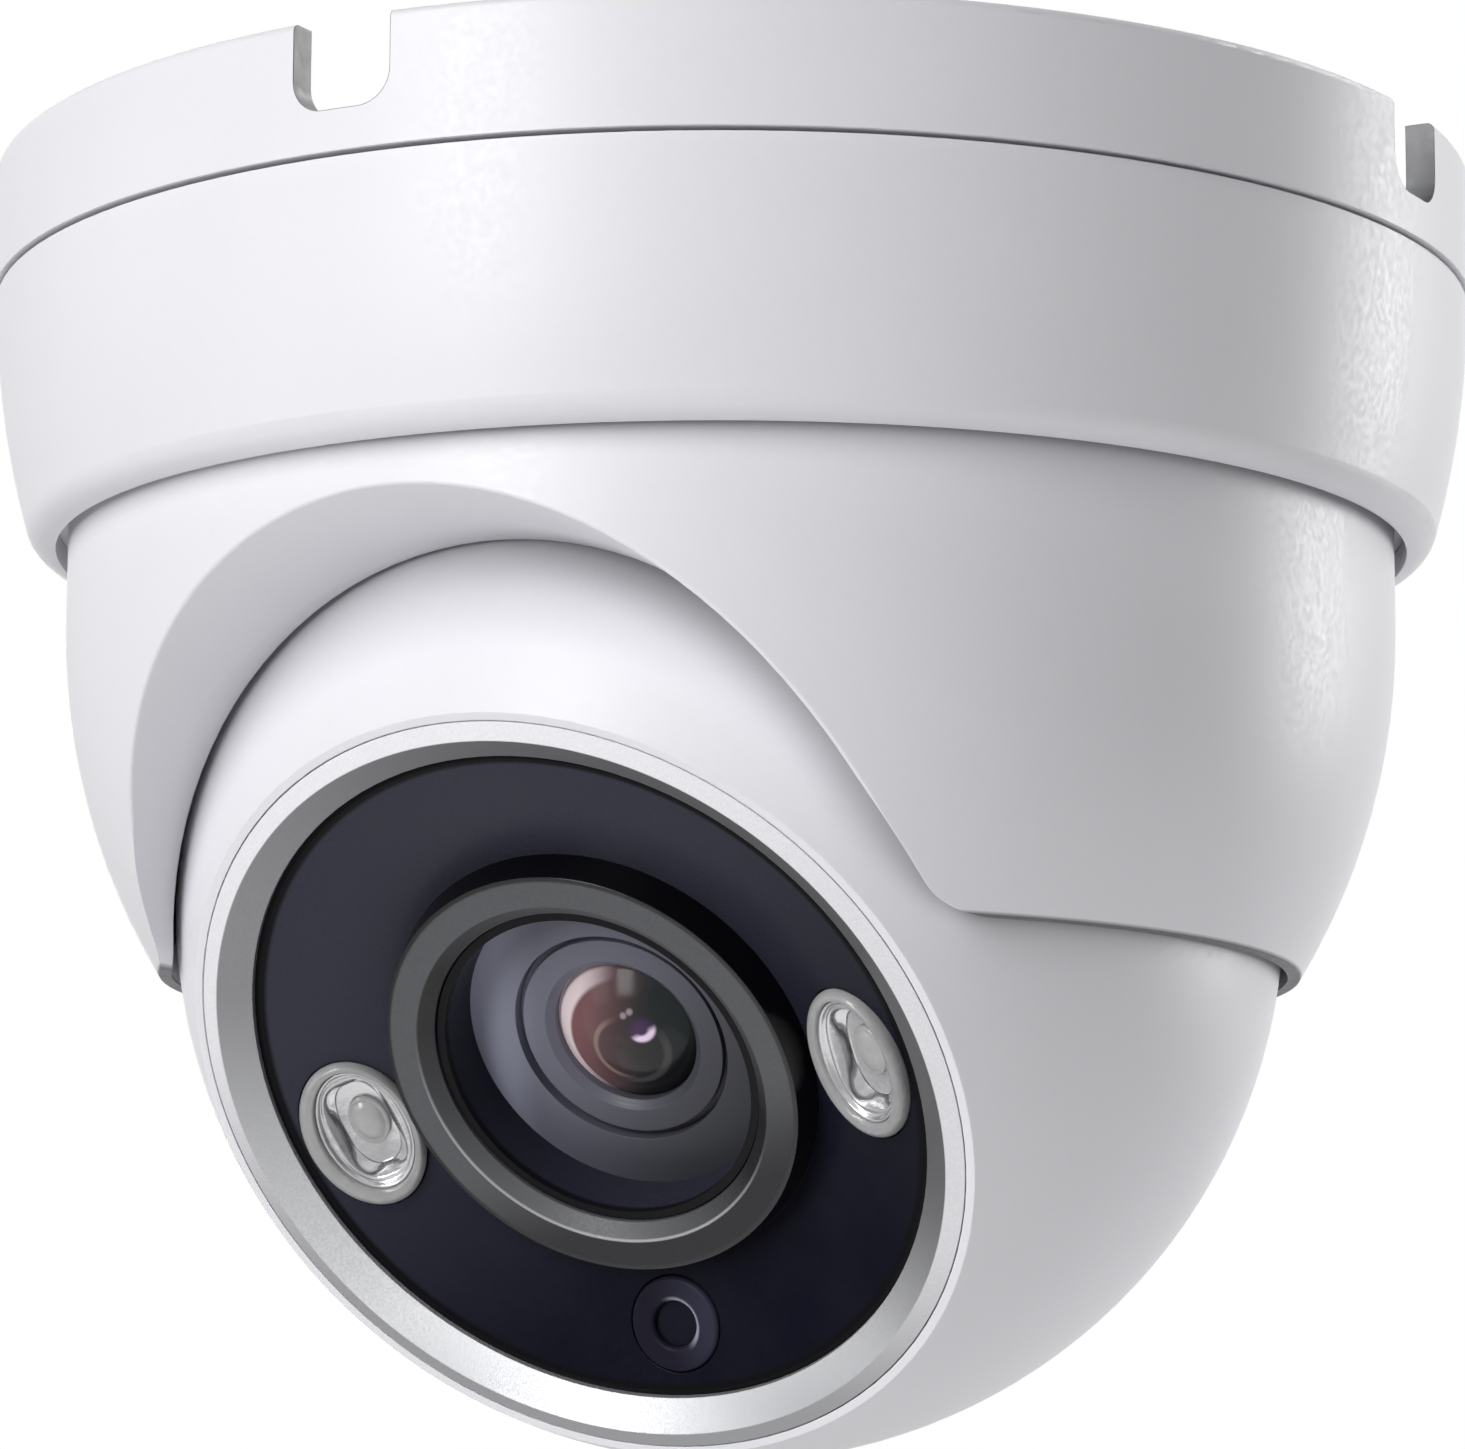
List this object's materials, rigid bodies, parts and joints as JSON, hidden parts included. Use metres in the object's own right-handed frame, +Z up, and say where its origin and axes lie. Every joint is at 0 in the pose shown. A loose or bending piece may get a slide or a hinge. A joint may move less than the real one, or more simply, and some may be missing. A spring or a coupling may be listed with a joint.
{
  "type": "ceiling eyeball security camera",
  "caption": "Ceiling security camera: a round base with a twist ring holds a panning dome shell whose arched visor frames a turning ball with a lens and infrared lamps.",
  "frame": {"origin": "centre of the ceiling face of the base", "axes": "+Z up into the ceiling, the eye looks along -Y and down at rest, +X to the right seen from the front"},
  "size_m": [0.11, 0.11, 0.0942],
  "materials": {
    "white_paint": "fine satin powder coat",
    "bezel_metal": "satin grey",
    "black_mask": "smoked near-black",
    "collar_grey": "satin dark grey",
    "black_rubber": "matt",
    "gland_plastic": "moulded",
    "lens_black": "dark anodised",
    "holder_black": "moulded",
    "lens_glass": "coated",
    "day_glass": "infrared cut",
    "night_glass": "clear",
    "clear_cap": "clear moulded plastic",
    "bright_cup": "metallised",
    "lamp_chip": "resin",
    "sensor_trim": "moulded",
    "board_green": "solder mask",
    "chip_black": "moulded",
    "steel": "plated",
    "brass": "turned",
    "can_metal": "drawn can",
    "connector_white": "moulded"
  },
  "bodies": {
    "base": {"base_housing": "white_paint", "pan_gasket": "black_rubber"},
    "ring": {"locking_ring": "white_paint"},
    "shell": {"dome_shell": "white_paint", "friction_collar": "black_rubber"},
    "gland": {"cable_gland": "gland_plastic", "gland_nut": "gland_plastic"},
    "eyeball": {"ball_front": "white_paint", "ball_rear": "white_paint", "ball_seal": "black_rubber", "front_bezel": "bezel_metal", "mask_gasket": "black_rubber", "front_mask": "black_mask", "led_board": "board_green", "mask_screws": "steel", "led_chips": "lamp_chip", "led_cups": "bright_cup", "led_caps": "clear_cap", "photo_diode": "lamp_chip", "sensor_bezel": "sensor_trim", "sensor_window": "lens_glass", "lens_collar": "collar_grey", "lens_shroud": "black_rubber", "lens_barrel": "lens_black", "lens_retainer": "lens_black", "front_glass": "lens_glass", "inner_glass": "lens_glass", "lens_spacers": "lens_black", "lens_lock_ring": "lens_black", "lens_holder": "holder_black", "filter_coil": "holder_black", "image_sensor": "chip_black", "sensor_board": "board_green", "board_standoffs": "brass", "sensor_board_screws": "steel", "main_board": "board_green", "main_board_screws": "steel", "processor": "chip_black", "capacitors": "can_metal", "lead_connector": "connector_white"},
    "filter": {"filter_slide": "holder_black", "day_filter": "day_glass", "night_filter": "night_glass"}
  },
  "joints": [
    {"name": "ring_twist", "type": "hinge", "parent": "base", "child": "ring", "pos_m": [0, 0, -0.0195], "axis": [0, 0, -1], "range_deg": [0, 45]},
    {"name": "pan", "type": "hinge", "parent": "base", "child": "shell", "pos_m": [0, 0, -0.0246], "axis": [0, 0, 1], "range_deg": [-177.5, 177.5]},
    {"name": "tilt", "type": "hinge", "parent": "shell", "child": "gland", "pos_m": [0, 0, -0.0535], "axis": [1, 0, 0], "range_deg": [-17.3, 54.7]},
    {"name": "roll", "type": "hinge", "parent": "gland", "child": "eyeball", "pos_m": [0, 0, -0.0535], "axis": [0, -0.8161, -0.5779], "range_deg": [-177.5, 177.5]},
    {"name": "filter_shift", "type": "slide", "parent": "eyeball", "child": "filter", "axis": [1, 0, 0], "range_m": [0, 0.006]}
  ]
}
